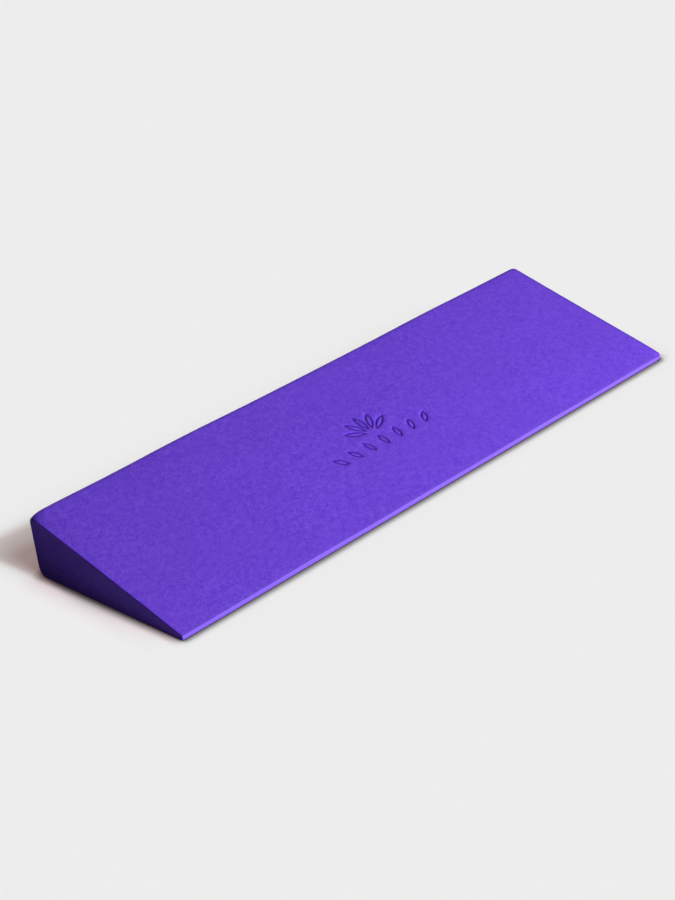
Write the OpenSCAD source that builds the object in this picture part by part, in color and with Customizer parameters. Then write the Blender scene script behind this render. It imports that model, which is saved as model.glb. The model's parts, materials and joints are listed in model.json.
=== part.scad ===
// Foam yoga wedge: one solid block of closed-cell EVA foam with a sloping top.
// Origin: centre of the base. X runs along the length, the thin toe edge is at -Y,
// the thick heel is at +Y, and +Z is up.

/* [Body] */
// Length, along X
body_length = 500; // [300:10:800]
// Depth from the toe edge to the heel face, along Y
body_depth = 150; // [120:5:250]
// Height of the heel
heel_height = 47; // [30:1:80]
// Height of the toe edge
toe_height = 3.5; // [3:0.5:12]

/* [Rounded edges] */
// Radius along the bottom of the heel
heel_bottom_radius = 6.5; // [3:0.5:14]
// Radius along the top of the heel
heel_top_radius = 2.5; // [1:0.5:6]
// Radius along the bottom of the toe
toe_bottom_radius = 1.2; // [0.5:0.1:1.4]
// Radius along the top of the toe
toe_top_radius = 0.7; // [0.4:0.1:1.2]
// Radius of the four upright corners, seen from above
corner_radius = 2; // [1:0.5:8]

/* [Pressed leaf pattern] */
// Depth of the pressed lines
line_depth = 0.3; // [0.2:0.1:1]
// Width of the pressed lines
line_width = 1.8; // [0.8:0.1:1.9]
// Number of leaves in the upper fan
fan_leaves = 5; // [3:2:7]
// Length of a fan leaf
fan_leaf_length = 19; // [12:0.5:24]
// Width of a fan leaf
fan_leaf_width = 5.8; // [4.5:0.1:6.2]
// Number of leaves in the lower row
row_leaves = 7; // [3:2:9]
// Length of a row leaf
row_leaf_length = 14; // [10:0.5:16]
// Width of a row leaf
row_leaf_width = 5.6; // [4.6:0.1:5.8]

/* [Hidden] */
$fn = 128;

slope_length = sqrt(body_depth ^ 2 + (heel_height - toe_height) ^ 2);
slope_angle = atan((heel_height - toe_height) / body_depth);

// Fan leaves start this far from the fan's centre, and this angle lies between two of them
fan_inner_radius = 5;
fan_step_angle = 30;
// Row leaves repeat at this pitch, and each one leans this much more than the one before it
row_pitch = 14.5;
row_turn_angle = 12;
// Distances up the slope, from its middle
fan_centre = -6.5;
row_centre = -15.5;

// Corners of the side outline, as [Y, Z], and the radius that each one gets
outline_corners = [
    [-body_depth / 2, 0],
    [body_depth / 2, 0],
    [body_depth / 2, heel_height],
    [-body_depth / 2, toe_height],
];
outline_radii = [toe_bottom_radius, heel_bottom_radius, heel_top_radius, toe_top_radius];

function unit(v) = v / norm(v);

// Directions from corner i of an outline to the corners before and after it
function to_previous(corners, i) =
    unit(corners[(i + len(corners) - 1) % len(corners)] - corners[i]);
function to_next(corners, i) = unit(corners[(i + 1) % len(corners)] - corners[i]);
function half_angle(corners, i) = acos(to_previous(corners, i) * to_next(corners, i)) / 2;

// Where the rounding of corner i starts and ends, and the centre of its arc
function arc_start(corners, radii, i) =
    corners[i] + to_previous(corners, i) * radii[i] / tan(half_angle(corners, i));
function arc_end(corners, radii, i) =
    corners[i] + to_next(corners, i) * radii[i] / tan(half_angle(corners, i));
function arc_centre(corners, radii, i) =
    corners[i]
    + unit(to_previous(corners, i) + to_next(corners, i)) * radii[i] / sin(half_angle(corners, i));

// A convex outline with a true arc at every corner
module rounded_outline(corners, radii) {
    polygon([
        for (i = [0 : len(corners) - 1])
            for (p = [arc_start(corners, radii, i), arc_end(corners, radii, i)]) p
    ]);
    for (i = [0 : len(corners) - 1])
        translate(arc_centre(corners, radii, i)) circle(r = radii[i]);
}

// The outline seen from above
module plan_outline() {
    x = body_length / 2;
    y = body_depth / 2;
    rounded_outline([[-x, -y], [x, -y], [x, y], [-x, y]], [for (i = [0 : 3]) corner_radius]);
}

module block() {
    intersection() {
        rotate([90, 0, 90])
            linear_extrude(height = body_length + 2, center = true)
                rounded_outline(outline_corners, outline_radii);
        translate([0, 0, -1])
            linear_extrude(height = heel_height + 2)
                plan_outline();
    }
}

// A leaf is the space that two equal circles share; a smaller radius about the same
// centres gives the same leaf with an even margin taken off
module leaf(length, width, margin) {
    radius = (length ^ 2 + width ^ 2) / (4 * width);
    offset_from_axis = radius - width / 2;
    intersection() {
        translate([0, offset_from_axis]) circle(r = radius - margin);
        translate([0, -offset_from_axis]) circle(r = radius - margin);
    }
}

module leaf_line(length, width) {
    difference() {
        leaf(length, width, 0);
        leaf(length, width, line_width);
    }
}

// The pattern lies flat, with its X along the wedge and its Y up the slope
module leaf_pattern() {
    for (i = [0 : fan_leaves - 1])
        translate([0, fan_centre])
            rotate(90 + fan_step_angle * (i - (fan_leaves - 1) / 2))
                translate([fan_inner_radius + fan_leaf_length / 2, 0])
                    leaf_line(fan_leaf_length, fan_leaf_width);
    for (i = [0 : row_leaves - 1])
        translate([row_pitch * (i - (row_leaves - 1) / 2), row_centre])
            rotate(90 - row_turn_angle * (i - (row_leaves - 1) / 2))
                leaf_line(row_leaf_length, row_leaf_width);
}

// Moves flat shapes onto the middle of the slope, with their Z along its normal
module on_slope() {
    translate([0, 0, (heel_height + toe_height) / 2])
        rotate([slope_angle, 0, 0])
            children();
}

module foam_wedge() {
    color("slateblue")
        difference() {
            block();
            on_slope()
                translate([0, 0, -line_depth])
                    linear_extrude(height = line_depth + 1)
                        leaf_pattern();
        }
}

foam_wedge();
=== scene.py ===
"""Looks for a foam yoga wedge: one block of closed-cell EVA foam on a pale studio floor.

Everything is in metres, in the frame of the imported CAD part: X along the length, the thin
toe edge at -Y, the thick heel at +Y, +Z up, and the floor at Z = 0.
"""

import json
import math

import bpy
import numpy as np
from mathutils import Matrix, Vector
from mathutils.geometry import delaunay_2d_cdt


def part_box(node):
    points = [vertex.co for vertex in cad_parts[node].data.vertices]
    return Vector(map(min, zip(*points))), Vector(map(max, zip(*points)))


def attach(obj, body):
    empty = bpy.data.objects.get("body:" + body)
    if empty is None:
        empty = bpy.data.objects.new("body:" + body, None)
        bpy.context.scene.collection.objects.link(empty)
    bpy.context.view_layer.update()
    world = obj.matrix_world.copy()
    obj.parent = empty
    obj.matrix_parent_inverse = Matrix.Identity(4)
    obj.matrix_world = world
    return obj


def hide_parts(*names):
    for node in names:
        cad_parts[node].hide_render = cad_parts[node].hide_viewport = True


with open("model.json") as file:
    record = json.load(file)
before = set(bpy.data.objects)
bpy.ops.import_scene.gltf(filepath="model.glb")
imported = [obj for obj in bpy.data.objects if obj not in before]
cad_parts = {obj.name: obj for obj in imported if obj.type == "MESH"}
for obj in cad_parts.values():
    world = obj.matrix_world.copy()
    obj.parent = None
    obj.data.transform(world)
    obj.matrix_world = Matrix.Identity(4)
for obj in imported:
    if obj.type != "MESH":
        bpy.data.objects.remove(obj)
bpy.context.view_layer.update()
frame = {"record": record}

MM = 0.001
NODE = "foam_wedge"

# ---------------------------------------------------------------- sizes from the frame

LOW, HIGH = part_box(NODE)
HALF_LENGTH = (HIGH.x - LOW.x) / 2
HALF_DEPTH = (HIGH.y - LOW.y) / 2
SLOPE = next(m for m in frame["record"]["mounts"] if m["name"] == "slope")
SLOPE_POINT = Vector(SLOPE["pos_m"])
SLOPE_NORMAL = Vector(SLOPE["axis"]).normalized()
SLOPE_ANGLE = math.atan2(-SLOPE_NORMAL.y, SLOPE_NORMAL.z)


def slope_height(y):
    """Height of the sloping top above the floor at y."""
    return SLOPE_POINT.z + (y - SLOPE_POINT.y) * math.tan(SLOPE_ANGLE)


# ---------------------------------------------------------------- sizes of the soft edges

TOE_BOTTOM_RADIUS = 1.2 * MM
HEEL_BOTTOM_RADIUS = 6.5 * MM
HEEL_TOP_RADIUS = 2.5 * MM
TOE_TOP_RADIUS = 0.7 * MM
END_EDGE_RADIUS = 0.4 * MM
LEAST_RADIUS = 0.2 * MM
# The upright corners at the toe and at the heel, first at -X and then at +X
TOE_CORNER_RADII = (0.8 * MM, 4.5 * MM)
HEEL_CORNER_RADII = (1.8 * MM, 2.8 * MM)
CORNER_REACH = max(TOE_CORNER_RADII + HEEL_CORNER_RADII)

# ---------------------------------------------------------------- the pressed leaf pattern

LINE_DEPTH = 0.3 * MM
LINE_WIDTH = 1.8 * MM
FAN_LEAVES = 5
FAN_LEAF = (19 * MM, 5.8 * MM)
FAN_STEP = math.radians(30)
FAN_INNER_RADIUS = 5 * MM
FAN_CENTRE = -6.5 * MM
ROW_LEAVES = 7
ROW_LEAF = (14 * MM, 5.6 * MM)
ROW_PITCH = 14.5 * MM
ROW_TURN = math.radians(12)
ROW_CENTRE = -15.5 * MM
# The wall of a pressed line starts this far outside its edge and ends this far inside
LIP_OUTSIDE = 0.2 * MM
LIP_INSIDE = 0.5 * MM

# ---------------------------------------------------------------- mesh spacing

STATION_SPACING = 3.5 * MM
FILL_SPACING = 3.5 * MM
FILL_MARGIN = 0.8 * FILL_SPACING
# Rows of the staggered grid stand this share of its spacing apart, as in equal-sided triangles
ROW_SHARE = 0.87
CONTOUR_SPACING = 0.6 * MM
LEAST_CONTOUR_STEPS = 6
CLEAR_OF_CONTOURS = 0.9 * MM
# Contours follow each wall of a pressed line at these shares of the way down it
WALL_SHARES = (0, 0.33, 0.67, 1)
# Radius and steps of each rounded edge of a section, from the toe's bottom edge to its top one
ROUNDED_EDGES = (
    (TOE_BOTTOM_RADIUS, 8),
    (HEEL_BOTTOM_RADIUS, 18),
    (HEEL_TOP_RADIUS, 12),
    (TOE_TOP_RADIUS, 8),
)
# Points on each straight side of a section, without its two ends
BASE_POINTS = 36
HEEL_POINTS = 10
SLOPE_POINTS = 42
TOE_POINTS = 1
# Slices at each end of the block: over its rounded edge, then over its upright corners
END_EDGE_STEPS = 7
END_CORNER_STEPS = 9
# Bands of the end faces, by how far in from their rounded edge
END_BANDS = (0.45 * MM, 0.9 * MM)
# A point no farther than this from the slope's plane lies on the slope
ON_SLOPE = 0.01 * MM
# Farther away than any line is, in metres
FAR = 1.0
TINY = 1e-9
# The triangulation's setting that keeps only what lies inside the loop
INSIDE_ONLY = 1


# ---------------------------------------------------------------- outline of one section


def arc_of_corner(before, corner, after, radius, steps):
    """Points of the fillet at a convex corner, from the side of before to that of after."""
    to_before = (before - corner).normalized()
    to_after = (after - corner).normalized()
    half = to_before.angle(to_after) / 2
    centre = corner + (to_before + to_after).normalized() * (radius / math.sin(half))
    tangent = radius / math.tan(half)
    start = corner + to_before * tangent - centre
    turn = math.pi - 2 * half
    points = []
    for k in range(steps + 1):
        angle = turn * k / steps
        c, s = math.cos(angle), math.sin(angle)
        points.append(centre + Vector((start.x * c - start.y * s, start.x * s + start.y * c)))
    return points


def between(start, end, count):
    """count points on the straight line from start to end, without its two ends."""
    return [start.lerp(end, (k + 1) / (count + 1)) for k in range(count)]


def section(toe_inset, heel_inset, inset):
    """The closed outline, as (y, z) points, of a slice across the wedge.

    The toe and heel faces are taken in by their own insets, and the base and the slope by
    the last one. The result is (points, index of the first slope point, index of the last).
    """
    toe = -HALF_DEPTH + toe_inset
    heel = HALF_DEPTH - heel_inset
    drop = inset / math.cos(SLOPE_ANGLE)
    corners = [
        Vector((toe, inset)),
        Vector((heel, inset)),
        Vector((heel, slope_height(heel) - drop)),
        Vector((toe, slope_height(toe) - drop)),
    ]
    arcs = []
    for i, (full_radius, steps) in enumerate(ROUNDED_EDGES):
        before, after = corners[i - 1], corners[(i + 1) % 4]
        radius = max(full_radius - inset, LEAST_RADIUS)
        arcs.append(arc_of_corner(before, corners[i], after, radius, steps))
    toe_bottom, heel_bottom, heel_top, toe_top = arcs
    points = toe_bottom + between(toe_bottom[-1], heel_bottom[0], BASE_POINTS)
    points += heel_bottom + between(heel_bottom[-1], heel_top[0], HEEL_POINTS)
    points += heel_top
    slope_first = len(points) - 1
    points += between(heel_top[-1], toe_top[0], SLOPE_POINTS)
    slope_last = len(points)
    points += toe_top + between(toe_top[-1], toe_bottom[0], TOE_POINTS)
    return points, slope_first, slope_last


def end_stations():
    """Distances from an end face of the slices that round it off, from the face inwards."""
    distances = []
    for k in range(END_EDGE_STEPS + 1):
        angle = math.pi / 2 * k / END_EDGE_STEPS
        distances.append(END_EDGE_RADIUS * (1 - math.cos(angle)))
    span = CORNER_REACH - END_EDGE_RADIUS
    for k in range(1, END_CORNER_STEPS + 1):
        distances.append(END_EDGE_RADIUS + span * k / END_CORNER_STEPS)
    return distances


def rounding(radius, distance):
    """How far a quarter round of that radius is set in, at that distance from its end."""
    if distance >= radius:
        return 0.0
    return radius - math.sqrt(radius**2 - (radius - distance) ** 2)


# ---------------------------------------------------------------- the leaf pattern's shape


def leaf_places():
    """(x, v, angle, length, width) of each leaf; v is up the slope from its middle."""
    places = []
    for i in range(FAN_LEAVES):
        angle = math.pi / 2 + FAN_STEP * (i - (FAN_LEAVES - 1) / 2)
        reach = FAN_INNER_RADIUS + FAN_LEAF[0] / 2
        x, v = reach * math.cos(angle), FAN_CENTRE + reach * math.sin(angle)
        places.append((x, v, angle, *FAN_LEAF))
    for i in range(ROW_LEAVES):
        from_middle = i - (ROW_LEAVES - 1) / 2
        angle = math.pi / 2 - ROW_TURN * from_middle
        places.append((ROW_PITCH * from_middle, ROW_CENTRE, angle, *ROW_LEAF))
    return places


def leaf_circles(length, width):
    """Radius of the two circles that bound a leaf, and how far each centre is off its axis."""
    radius = (length**2 + width**2) / (4 * width)
    return radius, radius - width / 2


def leaf_contour(place, margin):
    """Points round a leaf that has an even margin taken off."""
    x, v, angle, length, width = place
    radius, off_axis = leaf_circles(length, width)
    radius -= margin
    half_turn = math.acos(off_axis / radius)
    steps = max(LEAST_CONTOUR_STEPS, round(2 * half_turn * radius / CONTOUR_SPACING))
    points = []
    for side in (1, -1):
        for k in range(steps):
            turn = half_turn * (1 - 2 * k / steps)
            along = radius * math.sin(turn) * side
            across = (radius * math.cos(turn) - off_axis) * side
            c, s = math.cos(angle), math.sin(angle)
            points.append((x + along * c - across * s, v + along * s + across * c))
    return points


def line_distance(x, v):
    """Distance to the nearest pressed line's edge, negative inside the line."""
    nearest = np.full(np.shape(x), FAR)
    for cx, cv, angle, length, width in leaf_places():
        radius, off_axis = leaf_circles(length, width)
        c, s = math.cos(angle), math.sin(angle)
        along = (x - cx) * c + (v - cv) * s
        across = np.abs(-(x - cx) * s + (v - cv) * c)
        outside = np.hypot(along, across + off_axis) - radius
        line = np.abs(outside + LINE_WIDTH / 2) - LINE_WIDTH / 2
        nearest = np.minimum(nearest, line)
    return nearest


def pressed_share(x, v):
    """0 on the plain slope, 1 on the floor of a pressed line."""
    t = (LIP_OUTSIDE - line_distance(x, v)) / (LIP_OUTSIDE + LIP_INSIDE)
    t = np.clip(t, 0, 1)
    return t * t * (3 - 2 * t)


# ---------------------------------------------------------------- the foam block's mesh


class MeshBuilder:
    """Collects vertices and faces."""

    def __init__(self):
        self.points = []
        self.faces = []

    def add(self, point):
        self.points.append(point)
        return len(self.points) - 1

    def strip(self, ring_a, ring_b, first, last):
        """Quads between two rings, over the ring steps from first up to last."""
        count = len(ring_a)
        for k in range(first, last):
            a, b = k % count, (k + 1) % count
            self.faces.append((ring_a[a], ring_b[a], ring_b[b], ring_a[b]))

    def fill(self, loop, flat, extra, contours, lift):
        """Triangles inside a closed loop of vertices.

        flat gives a loop vertex's place in the plane, extra and contours are new places in
        that plane, and lift turns such a place into a 3-D point.
        """
        places = [Vector(flat(i)) for i in loop]
        ids = list(loop)
        edges = [(k, (k + 1) % len(loop)) for k in range(len(loop))]
        for contour in contours:
            start = len(places)
            places += [Vector(p) for p in contour]
            ids += [self.add(lift(*p)) for p in contour]
            edges += [(start + k, start + (k + 1) % len(contour)) for k in range(len(contour))]
        places += [Vector(p) for p in extra]
        ids += [self.add(lift(*p)) for p in extra]
        _, _, faces, origins, _, _ = delaunay_2d_cdt(places, edges, [], INSIDE_ONLY, TINY, True)
        for face in faces:
            self.faces.append(tuple(ids[origins[i][0]] for i in reversed(face)))

    def drop_unused(self):
        """Drops the vertices that no face has, and numbers the rest again."""
        used = sorted({i for face in self.faces for i in face})
        place = {old: new for new, old in enumerate(used)}
        self.points = [self.points[i] for i in used]
        self.faces = [tuple(place[i] for i in face) for face in self.faces]


def grid_inside(low, high, spacing, margin):
    """Staggered grid places in a rectangle, kept a margin away from its sides."""
    wide = high[0] - low[0] - 2 * margin
    tall = high[1] - low[1] - 2 * margin
    columns = max(1, round(wide / spacing))
    rows = max(1, round(tall / (spacing * ROW_SHARE)))
    places = []
    for j in range(rows + 1):
        for i in range(columns + 1):
            x = low[0] + margin + wide * (i + 0.5 * (j % 2)) / columns
            y = low[1] + margin + tall * j / rows
            if x <= high[0] - margin + TINY:
                places.append((x, y))
    return places


def slope_place(x, v):
    """The 3-D point at x and at v up the slope from its middle."""
    y = v * math.cos(SLOPE_ANGLE)
    return Vector((x, y, slope_height(y)))


def block_stations():
    """(x, distance from the nearer end, which end) of each slice, from -X to +X.

    The second result is how many slices come before the straight middle part.
    """
    ends = end_stations()[:-1]
    inner = HALF_LENGTH - CORNER_REACH
    steps = round(2 * inner / STATION_SPACING)
    stations = [(-HALF_LENGTH + d, d, 0) for d in ends]
    stations += [(-inner + 2 * inner * k / steps, CORNER_REACH, 0) for k in range(steps + 1)]
    stations += [(HALF_LENGTH - d, d, 1) for d in reversed(ends)]
    return stations, len(ends)


def add_slice(mesh, x, distance, end, band=0.0):
    """Adds one slice. The result is (its ring, the ring's first slope point, its last)."""
    outline, first, last = section(
        rounding(TOE_CORNER_RADII[end], distance) + band,
        rounding(HEEL_CORNER_RADII[end], distance) + band,
        rounding(END_EDGE_RADIUS, distance) + band,
    )
    return [mesh.add(Vector((x, p.x, p.y))) for p in outline], first, last


def add_end_faces(mesh, first_ring, last_ring):
    """Each end: bands inside the rounded edge, and one flat face inside those."""
    left = [first_ring] + [add_slice(mesh, -HALF_LENGTH, 0, 0, band)[0] for band in END_BANDS]
    right = [last_ring] + [add_slice(mesh, HALF_LENGTH, 0, 1, band)[0] for band in END_BANDS]
    for k in range(len(END_BANDS)):
        mesh.strip(left[k + 1], left[k], 0, len(first_ring))
        mesh.strip(right[k], right[k + 1], 0, len(last_ring))
    mesh.faces.append(tuple(left[-1]))
    mesh.faces.append(tuple(reversed(right[-1])))


def line_contours():
    """Contours along both walls of every leaf's pressed line."""
    contours = []
    wall = LIP_OUTSIDE + LIP_INSIDE
    for place in leaf_places():
        for share in WALL_SHARES:
            contours.append(leaf_contour(place, -LIP_OUTSIDE + wall * share))
            contours.append(leaf_contour(place, LINE_WIDTH + LIP_OUTSIDE - wall * share))
    return contours


def add_slope(mesh, loop):
    """Fills in the slope inside that loop of vertices, with the pressed lines."""

    def on_slope(i):
        return (mesh.points[i].x, mesh.points[i].y / math.cos(SLOPE_ANGLE))

    spread = [on_slope(i) for i in loop]
    low = (min(p[0] for p in spread), min(p[1] for p in spread))
    high = (max(p[0] for p in spread), max(p[1] for p in spread))
    extra = [
        p
        for p in grid_inside(low, high, FILL_SPACING, FILL_MARGIN)
        if abs(line_distance(np.array(p[0]), np.array(p[1]))) > CLEAR_OF_CONTOURS
    ]
    mesh.fill(loop, on_slope, extra, line_contours(), slope_place)


def build_block():
    """The block as it would be cut by a machine, before soften() makes it uneven."""
    mesh = MeshBuilder()
    stations, first_middle = block_stations()
    rings = []
    for station in stations:
        ring, slope_first, slope_last = add_slice(mesh, *station)
        rings.append(ring)
    count = len(rings[0])
    last_middle = len(rings) - 1 - first_middle
    for k in range(len(rings) - 1):
        if first_middle <= k < last_middle:
            # The slope is left open here, for add_slope
            mesh.strip(rings[k], rings[k + 1], slope_last, slope_first + count)
        else:
            mesh.strip(rings[k], rings[k + 1], 0, count)
    add_end_faces(mesh, rings[0], rings[-1])

    loop = [rings[k][slope_first] for k in range(first_middle, last_middle + 1)]
    loop += [rings[last_middle][i] for i in range(slope_first + 1, slope_last + 1)]
    loop += [rings[k][slope_last] for k in range(last_middle - 1, first_middle - 1, -1)]
    loop += [rings[first_middle][i] for i in range(slope_last - 1, slope_first, -1)]
    add_slope(mesh, loop)
    mesh.drop_unused()
    return mesh


# ---------------------------------------------------------------- unevenness of real foam, and painted light on its edges

# The slope's swell: its height, its (longest, shortest) waves, how many there are, and a seed
SWELL = 0.14 * MM
SWELL_WAVES = (200 * MM, 50 * MM)
SWELL_COUNT = 9
SWELL_SEED = 3
# It fades out over this height below the slope
SWELL_FADE = 1.0 * MM
# Places along the heel's top edge where the foam stands proud: (x, height, half width)
BULGES = (
    (-225 * MM, 0.3 * MM, 25 * MM),
    (-110 * MM, 0.9 * MM, 50 * MM),
    (145 * MM, 0.7 * MM, 50 * MM),
    (235 * MM, 0.4 * MM, 45 * MM),
)
# Worn corners: (side of X, side of Y, depth, reach in X, reach in Y)
WORN_ON_TOP = (
    (-1, 1, 2.4 * MM, 9 * MM, 12 * MM),
    (-1, 1, 1.0 * MM, 14 * MM, 70 * MM),
    (1, -1, 0.8 * MM, 12 * MM, 12 * MM),
)
WORN_BENEATH = ((1, -1, 1.8 * MM, 10 * MM, 10 * MM),)
# How far in from each side of the block the painted shade along its edges reaches
EDGE_SHADE_REACH = {
    "left": 1.3 * MM,
    "right": 2.2 * MM,
    "heel": 4 * MM,
    "base": 1.3 * MM,
    "slope": 1.3 * MM,
}
# Over how far the painted sheen on the toe's face and the painted highlight on its top edge fade
# out
TOE_FADE = 0.5 * MM
TOE_EDGE_FADE = 0.9 * MM
# Both also fade out over this length at the +X end, where the rounded corner turns away from the
# light
PAINTED_TOE_LIGHT_FADE = 9 * MM


def waves(along, across, longest, shortest, count, seed):
    """A smooth, seeded field between about -1 and 1 with waves of those lengths."""
    draw = np.random.RandomState(seed)
    field = np.zeros(np.shape(along))
    for _ in range(count):
        length = shortest * (longest / shortest) ** draw.rand()
        heading = draw.rand() * 2 * math.pi
        phase = draw.rand() * 2 * math.pi
        turn = along * math.cos(heading) + across * math.sin(heading)
        field += np.sin(2 * math.pi * turn / length + phase)
    return field / math.sqrt(count)


def worn(corners, x, y):
    """How far those corners have worn away at (x, y)."""
    depth = np.zeros_like(x)
    for side_x, side_y, most, reach_x, reach_y in corners:
        near_x = np.clip(1 - (HALF_LENGTH - side_x * x) / reach_x, 0, 1)
        near_y = np.clip(1 - (HALF_DEPTH - side_y * y) / reach_y, 0, 1)
        depth += most * near_x**2 * near_y**2
    return depth


def pressed_into_slope(points):
    """pressed_share at those points of the block, and 0 for points off the slope."""
    x, y, z = points.T
    share = pressed_share(x, y / math.cos(SLOPE_ANGLE))
    share[np.abs(z - slope_height(y)) > ON_SLOPE] = 0
    return share


def soften(points):
    """Presses the lines in and gives the block the gentle unevenness of cut foam."""
    x, y, z = points.T
    v = y / math.cos(SLOPE_ANGLE)
    on_top = np.clip(1 + (z - slope_height(y)) / SWELL_FADE, 0, 1)
    swell = SWELL * waves(x, v, *SWELL_WAVES, SWELL_COUNT, SWELL_SEED) * on_top
    depth = LINE_DEPTH * pressed_into_slope(points)
    rise = z / (HIGH.z - LOW.z)
    share_of_height = np.clip(z / slope_height(y), 0, 1)
    fall = worn(WORN_ON_TOP, x, y) * share_of_height
    fall -= worn(WORN_BENEATH, x, y) * (1 - share_of_height)
    lift = sum(height * np.exp(-(((x - place) / width) ** 2)) for place, height, width in BULGES)
    move = np.zeros_like(points)
    move[:, 1] = (depth - swell) * math.sin(SLOPE_ANGLE)
    move[:, 2] = (swell - depth) * math.cos(SLOPE_ANGLE) + lift * rise - fall
    return points + move


def edge_shares(points):
    """1 on an edge, fading to 0 a little way in: (painted sheen on the toe's face, painted
    highlight on its top edge, painted shade along its other edges).
    """
    x, y, z = points.T
    gap = {
        "left": HALF_LENGTH + x,
        "right": HALF_LENGTH - x,
        "heel": HALF_DEPTH - y,
        "base": z,
        "slope": (slope_height(y) - z) * math.cos(SLOPE_ANGLE),
    }
    gap_toe = HALF_DEPTH + y
    # Painted sheen on the toe's face and painted highlight on its top edge, both fading out
    # before the rounded +X corner
    before_corner = np.clip(gap["right"] / PAINTED_TOE_LIGHT_FADE, 0, 1)
    painted_toe_sheen = np.clip(1 - gap_toe / TOE_FADE, 0, 1) * before_corner
    to_toe_edge = np.maximum(gap_toe, gap["slope"])
    painted_toe_highlight = np.clip(1 - to_toe_edge / TOE_EDGE_FADE, 0, 1) * before_corner
    # Painted shade along the block's edges, stopped on the toe's face
    # An edge is where two sides meet, so the second smallest gap says how near it is
    nearest = np.sort(np.stack([gap[side] / reach for side, reach in EDGE_SHADE_REACH.items()]), axis=0)
    dark = np.clip(1 - nearest[1], 0, 1)
    return painted_toe_sheen, painted_toe_highlight, dark * (1 - painted_toe_sheen)


def foam_object(material):
    """The foam block, with the shares that its material reads as vertex attributes."""
    mesh = build_block()
    raw = np.array(mesh.points)
    data = bpy.data.meshes.new("foam_block")
    data.from_pydata([tuple(p) for p in soften(raw)], [], mesh.faces)
    data.validate()
    painted_toe_sheen, painted_toe_highlight, painted_edge_shade = edge_shares(raw)
    # Besides the pressed lines, these shares carry painted light: shade along the edges, a sheen
    # on the toe's face and a highlight on its top edge
    shares = {
        "pressed": pressed_into_slope(raw),
        "edge": painted_edge_shade,
        "painted_toe_sheen": painted_toe_sheen,
        "painted_toe_highlight": painted_toe_highlight,
    }
    for name, values in shares.items():
        layer = data.attributes.new(name, "FLOAT", "POINT")
        layer.data.foreach_set("value", values.astype(np.float32))
    data.shade_smooth()
    data.materials.append(material)
    block = bpy.data.objects.new("foam_block", data)
    bpy.context.scene.collection.objects.link(block)
    return block


# ---------------------------------------------------------------- materials


# Rays that open_share sends from each point
OPEN_SAMPLES = 16


class Nodes:
    """Short calls for building a material's node tree."""

    def __init__(self, name):
        self.material = bpy.data.materials.new(name)
        self.material.use_nodes = True
        self.tree = self.material.node_tree
        self.shader = self.tree.nodes["Principled BSDF"]

    def node(self, kind, **settings):
        made = self.tree.nodes.new(kind)
        for key, value in settings.items():
            setattr(made, key, value)
        return made

    def link(self, source, target):
        self.tree.links.new(source, target)

    def noise(self, coordinates, scale, detail=3.0, roughness=0.55):
        made = self.node("ShaderNodeTexNoise")
        made.inputs["Scale"].default_value = scale
        made.inputs["Detail"].default_value = detail
        made.inputs["Roughness"].default_value = roughness
        self.link(coordinates, made.inputs["Vector"])
        return made.outputs["Fac"]

    def spread(self, value, seen, wanted):
        """Takes the range seen to the range wanted, both as (low, high)."""
        made = self.node("ShaderNodeMapRange")
        self.link(value, made.inputs["Value"])
        keys = ("From Min", "From Max", "To Min", "To Max")
        for key, number in zip(keys, seen + wanted):
            made.inputs[key].default_value = number
        return made.outputs["Result"]

    def maths(self, operation, a, b):
        made = self.node("ShaderNodeMath", operation=operation)
        for socket, value in zip(made.inputs, (a, b)):
            if isinstance(value, (int, float)):
                socket.default_value = value
            else:
                self.link(value, socket)
        return made.outputs["Value"]

    def mix(self, factor, a, b, blend="MIX"):
        made = self.node("ShaderNodeMix", data_type="RGBA", blend_type=blend)
        if isinstance(factor, (int, float)):
            made.inputs["Factor"].default_value = factor
        else:
            self.link(factor, made.inputs["Factor"])
        for key, value in (("A", a), ("B", b)):
            socket = next(s for s in made.inputs if s.name == key and s.type == "RGBA")
            if isinstance(value, tuple):
                socket.default_value = (*value, 1)
            else:
                self.link(value, socket)
        return next(s for s in made.outputs if s.type == "RGBA")

    def place(self):
        """Where on the object the surface is, in metres."""
        return self.node("ShaderNodeTexCoord").outputs["Object"]

    def attribute(self, name):
        made = self.node("ShaderNodeAttribute", attribute_name=name, attribute_type="GEOMETRY")
        return made.outputs["Fac"]

    def open_share(self, reach):
        """1 where nothing stands within reach of the surface, less where something does."""
        made = self.node("ShaderNodeAmbientOcclusion", samples=OPEN_SAMPLES)
        made.inputs["Distance"].default_value = reach
        return made.outputs["AO"]

    def bump(self, height, distance, strength, normal=None):
        made = self.node("ShaderNodeBump")
        made.inputs["Distance"].default_value = distance
        made.inputs["Strength"].default_value = strength
        self.link(height, made.inputs["Height"])
        if normal is not None:
            self.link(normal, made.inputs["Normal"])
        return made.outputs["Normal"]


# Noise scales, in waves or cells per metre
CLOUD_SCALE = 14
MOTTLE_SCALE = 230
GRAIN_SCALE = 850
CELL_SCALE = 1500
PAPER_SCALE = 60

FOAM_PURPLE = (0.155, 0.062, 0.665)
FOAM_DARK_GRAIN = (0.115, 0.037, 0.600)
FOAM_LIGHT_GRAIN = (0.190, 0.084, 0.725)
# Tints laid over the foam in this order: (vertex attribute, share, colour). The first three are
# painted light: shade along the edges, a sheen on the toe's face and a highlight on its top edge.
# The last is the darker foam of the pressed lines.
FOAM_TINTS = (
    ("edge", 0.85, (0.06, 0.016, 0.40)),
    ("painted_toe_sheen", 0.8, (0.125, 0.069, 0.46)),
    ("painted_toe_highlight", 0.8, (0.140, 0.092, 0.48)),
    ("pressed", 1.0, (0.067, 0.0225, 0.385)),
)
GRAIN_SHARE = 0.6
CLOUD_SHARE = 0.35
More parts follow.
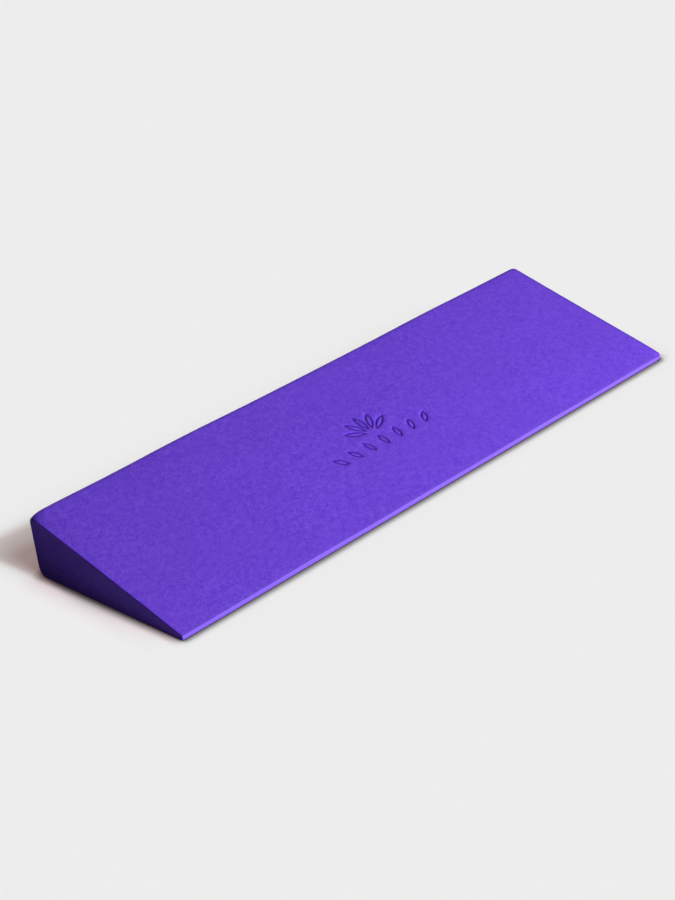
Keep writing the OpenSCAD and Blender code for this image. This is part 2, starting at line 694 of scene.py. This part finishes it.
# The part of each noise's range that is used
SPECKLE_RANGE = (0.38, 0.62)
CLOUD_RANGE = (0.35, 0.65)
WIDE_RANGE = (0.3, 0.7)
FOAM_ROUGHNESS = (0.54, 0.64)
FOAM_SPECULAR = 0.22
# Depth and strength of the bumps
CELL_BUMP = (0.12 * MM, 0.35)
GRAIN_BUMP = (0.3 * MM, 0.4)
MOTTLE_BUMP = (0.5 * MM, 0.3)


def foam_material():
    n = Nodes("eva_foam")
    place = n.place()
    cloud = n.noise(place, CLOUD_SCALE, detail=2)
    mottle = n.noise(place, MOTTLE_SCALE, detail=2, roughness=0.7)
    grain = n.noise(place, GRAIN_SCALE, detail=2, roughness=0.9)
    cells = n.node("ShaderNodeTexVoronoi", feature="F1")
    cells.inputs["Scale"].default_value = CELL_SCALE
    n.link(place, cells.inputs["Vector"])

    fine = n.maths("MULTIPLY", grain, GRAIN_SHARE)
    coarse = n.maths("MULTIPLY", mottle, 1 - GRAIN_SHARE)
    speckle = n.spread(n.maths("ADD", fine, coarse), SPECKLE_RANGE, (0, 1))
    tone = n.mix(speckle, FOAM_DARK_GRAIN, FOAM_LIGHT_GRAIN)
    tone = n.mix(n.spread(cloud, CLOUD_RANGE, (0, CLOUD_SHARE)), tone, FOAM_PURPLE)
    for attribute, share, tint in FOAM_TINTS:
        tone = n.mix(n.maths("MULTIPLY", n.attribute(attribute), share), tone, tint)
    n.link(tone, n.shader.inputs["Base Color"])

    n.link(n.spread(mottle, WIDE_RANGE, FOAM_ROUGHNESS), n.shader.inputs["Roughness"])
    n.shader.inputs["Specular IOR Level"].default_value = FOAM_SPECULAR

    pits = n.bump(cells.outputs["Distance"], *CELL_BUMP)
    skin = n.bump(grain, *GRAIN_BUMP, pits)
    dimples = n.bump(mottle, *MOTTLE_BUMP, skin)
    n.link(dimples, n.shader.inputs["Normal"])
    return n.material


# The floor is matt paper, and the card under it a dark sheet of it that stands in for the floor
# in shade: (darkest, lightest) share sent back
FLOOR_TONES = (0.798, 0.802)
CARD_TONES = (0.24, 0.26)
PAPER_ROUGHNESS = 0.9
PAPER_DETAIL = 4
# The floor has a painted shadow where it meets the foam, and painted warm shade beside the foam's
# faces.
# How much of each is worked out from what stands within each reach.
CONTACT_REACH = 8 * MM
CONTACT_POWER = 2.3
CONTACT_SHADOW_TONE = (0.08, 0.035, 0.035)
WALL_REACH = 25 * MM
WALL_SHADE_TONE = (0.54, 0.25, 0.32)


def grey(tone):
    return (tone, tone, tone)


def matt(n, tone):
    """Gives a material that tone and no gloss at all."""
    n.link(tone, n.shader.inputs["Base Color"])
    n.shader.inputs["Roughness"].default_value = PAPER_ROUGHNESS
    n.shader.inputs["Specular IOR Level"].default_value = 0.0
    return n.material


def floor_material():
    n = Nodes("studio_floor")
    paper = n.spread(n.noise(n.place(), PAPER_SCALE, PAPER_DETAIL), WIDE_RANGE, (0, 1))
    dark, light = FLOOR_TONES
    tone = n.mix(paper, grey(dark), grey(light))
    # Painted warm shade beside the foam's faces, then a darker painted shadow where the floor
    # meets the foam
    tone = n.mix(n.open_share(WALL_REACH), WALL_SHADE_TONE, tone)
    at_contact = n.maths("POWER", n.open_share(CONTACT_REACH), CONTACT_POWER)
    return matt(n, n.mix(at_contact, CONTACT_SHADOW_TONE, tone))


def card_material():
    n = Nodes("shade_card")
    paper = n.noise(n.place(), PAPER_SCALE, PAPER_DETAIL)
    dark, light = CARD_TONES
    return matt(n, n.mix(paper, grey(dark), grey(light)))


# ---------------------------------------------------------------- the stage

# One triangle, so that no edge between two faces crosses the view
FLOOR_REACH = 60
FLOOR_OUTLINE = (
    (-2 * FLOOR_REACH, -FLOOR_REACH),
    (2 * FLOOR_REACH, -FLOOR_REACH),
    (0, 2 * FLOOR_REACH),
)
# The card covers the part of the floor that lies in the block's own shade
CARD_HEIGHT = -1 * MM
CARD_OUTLINE = (
    (-0.251, -0.083),
    (0.251, -0.083),
    (0.285, 0.07),
    (0.285, 0.15),
    (-0.295, 0.15),
    (-0.295, 0.075),
    (-0.270, 0.03),
)

# How bright the open floor is in the picture, and the share of its light that it sends back
FLOOR_TONE = 0.847
FLOOR_ALBEDO = sum(FLOOR_TONES) / 2
# The world's light from above and from below, and what the camera sees beyond the floor
WORLD_ABOVE = (0.05, 0.05, 0.05)
WORLD_BELOW = (0.42, 0.40, 0.40)
WORLD_SEEN = (FLOOR_TONE, FLOOR_TONE, FLOOR_TONE)
# Heights between which the world turns from one to the other: 0 straight down, 1 straight up
HORIZON = (0.47, 0.53)

# Lamps on the object: place, (width, height) and watts
KEY_LAMP = ((0.499, -1.728, 0.258), (0.6, 0.5), 78)
RIM_LAMP = ((0.45, 1.9, 0.30), (0.8, 0.3), 14)
LAMP_TARGET = (0, 0, 0.02)

# Lamps on the floor: azimuth, elevation and width in degrees. Azimuth 0 is on the toe side,
# and it grows towards +X.
FLOOR_FRONT_HARD = (4.5, 33, 6.5)
FLOOR_FRONT_SOFT = (3.5, 38, 31)
FLOOR_BACK = (171.5, 38.6, 12)
FLOOR_LAMP_DISTANCE = 3
# The front lamps' share of the floor's light, in red, green and blue. The rest, which is
# all that reaches their shadow, is warmer.
FRONT_SHARE = (0.65, 0.752, 0.772)


def flat_sheet(name, outline, height, material):
    """A flat face of that outline, as part of the stage."""
    data = bpy.data.meshes.new(name)
    data.from_pydata([(x, y, height) for x, y in outline], [], [tuple(range(len(outline)))])
    data.materials.append(material)
    made = bpy.data.objects.new(name, data)
    bpy.context.scene.collection.objects.link(made)
    return made


def light_set(name, *objects):
    """A collection that a lamp can be limited to."""
    made = bpy.data.collections.new(name)
    for o in objects:
        made.objects.link(o)
    return made


def aim(obj, place, target):
    obj.location = place
    obj.rotation_euler = (Vector(target) - Vector(place)).to_track_quat("-Z", "Y").to_euler()


def floor_sun(name, azimuth, elevation, width, share, receivers):
    """A far lamp that gives the floor that share of its light."""
    a, e = math.radians(azimuth), math.radians(elevation)
    from_world = FLOOR_ALBEDO * WORLD_ABOVE[0]
    needed = (FLOOR_TONE - from_world) * math.pi / FLOOR_ALBEDO / math.sin(e)
    data = bpy.data.lights.new(name, "SUN")
    data.energy = needed * max(share)
    data.color = [c / max(share) for c in share]
    data.angle = math.radians(width)
    made = bpy.data.objects.new(name, data)
    bpy.context.scene.collection.objects.link(made)
    away = Vector((math.sin(a) * math.cos(e), -math.cos(a) * math.cos(e), math.sin(e)))
    aim(made, away * FLOOR_LAMP_DISTANCE, (0, 0, 0))
    made.light_linking.receiver_collection = receivers


def softbox(name, place, size, power, receivers):
    """A rectangular lamp aimed at the block."""
    data = bpy.data.lights.new(name, "AREA")
    data.shape = "RECTANGLE"
    data.size, data.size_y = size
    data.energy = power
    made = bpy.data.objects.new(name, data)
    bpy.context.scene.collection.objects.link(made)
    aim(made, place, LAMP_TARGET)
    made.light_linking.receiver_collection = receivers
    return made


def make_lamps(on_object, on_floor):
    """A low key from the front, a weak rim from behind, and three lamps for the floor alone."""
    key = softbox("key", *KEY_LAMP, on_object)
    # Seen from behind, the low key would glare off the slope
    key.visible_glossy = False
    softbox("rim", *RIM_LAMP, on_object)
    half_front = tuple(c / 2 for c in FRONT_SHARE)
    floor_sun("floor_front_hard", *FLOOR_FRONT_HARD, half_front, on_floor)
    floor_sun("floor_front_soft", *FLOOR_FRONT_SOFT, half_front, on_floor)
    floor_sun("floor_back", *FLOOR_BACK, tuple(1 - c for c in FRONT_SHARE), on_floor)


def make_world():
    """Dim all round, with light from below the horizon for the bounce off a pale floor."""
    world = bpy.data.worlds.new("studio")
    bpy.context.scene.world = world
    world.use_nodes = True
    tree = world.node_tree
    out = tree.nodes["World Output"]
    background = tree.nodes["Background"]
    seen = tree.nodes.new("ShaderNodeBackground")
    seen.inputs["Color"].default_value = (*WORLD_SEEN, 1)
    direction = tree.nodes.new("ShaderNodeTexCoord")
    split = tree.nodes.new("ShaderNodeSeparateXYZ")
    tree.links.new(direction.outputs["Generated"], split.inputs["Vector"])
    ramp = tree.nodes.new("ShaderNodeValToRGB")
    tones = (WORLD_BELOW, WORLD_ABOVE)
    for element, place, tone in zip(ramp.color_ramp.elements, HORIZON, tones):
        element.position = place
        element.color = (*tone, 1)
    height = tree.nodes.new("ShaderNodeMapRange")
    height.inputs["From Min"].default_value = -1
    height.inputs["From Max"].default_value = 1
    tree.links.new(split.outputs["Z"], height.inputs["Value"])
    tree.links.new(height.outputs["Result"], ramp.inputs["Fac"])
    tree.links.new(ramp.outputs["Color"], background.inputs["Color"])
    ray = tree.nodes.new("ShaderNodeLightPath")
    mix = tree.nodes.new("ShaderNodeMixShader")
    tree.links.new(ray.outputs["Is Camera Ray"], mix.inputs["Fac"])
    tree.links.new(background.outputs["Background"], mix.inputs[1])
    tree.links.new(seen.outputs["Background"], mix.inputs[2])
    tree.links.new(mix.outputs["Shader"], out.inputs["Surface"])


# ---------------------------------------------------------------- the camera

CAMERA_AZIMUTH = math.radians(-41.858)
CAMERA_ELEVATION = math.radians(26.172)
CAMERA_ROLL = math.radians(-7.21)
CAMERA_DISTANCE = 1.5453
CAMERA_TARGET = Vector((-0.0027, 0.0325, 0))
CAMERA_LENS = 83.5
CAMERA_SENSOR = 36
CAMERA_CLIP = (0.05, 200)


def make_camera():
    data = bpy.data.cameras.new("camera")
    data.lens = CAMERA_LENS
    data.sensor_width = CAMERA_SENSOR
    data.clip_start, data.clip_end = CAMERA_CLIP
    made = bpy.data.objects.new("camera", data)
    bpy.context.scene.collection.objects.link(made)
    level = math.cos(CAMERA_ELEVATION)
    back = Vector((
        math.sin(CAMERA_AZIMUTH) * level,
        -math.cos(CAMERA_AZIMUTH) * level,
        math.sin(CAMERA_ELEVATION),
    ))
    right = Vector((0, 0, 1)).cross(back).normalized()
    turn = Matrix((right, back.cross(right), back)).transposed()
    turn = turn @ Matrix.Rotation(CAMERA_ROLL, 3, "Z")
    made.matrix_world = Matrix.Translation(CAMERA_TARGET + back * CAMERA_DISTANCE) @ turn.to_4x4()
    bpy.context.scene.camera = made


# ---------------------------------------------------------------- put it together

make_camera()
bpy.context.scene.view_settings.view_transform = "Standard"

block = foam_object(foam_material())
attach(block, "root")
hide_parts(NODE)
# The shade and tint that the foam would give the floor are painted into the floor's own material
block.visible_diffuse = False

floor = flat_sheet("floor", FLOOR_OUTLINE, 0, floor_material())
# The world's light from below stands in for what the floor would send to the foam, and the
# card under the floor holds it back where the floor is in shade
floor.visible_diffuse = False
floor.visible_glossy = False
shade_card = flat_sheet("shade_card", CARD_OUTLINE, CARD_HEIGHT, card_material())
shade_card.visible_camera = False

make_world()
make_lamps(light_set("lit_object", block), light_set("lit_floor", floor))
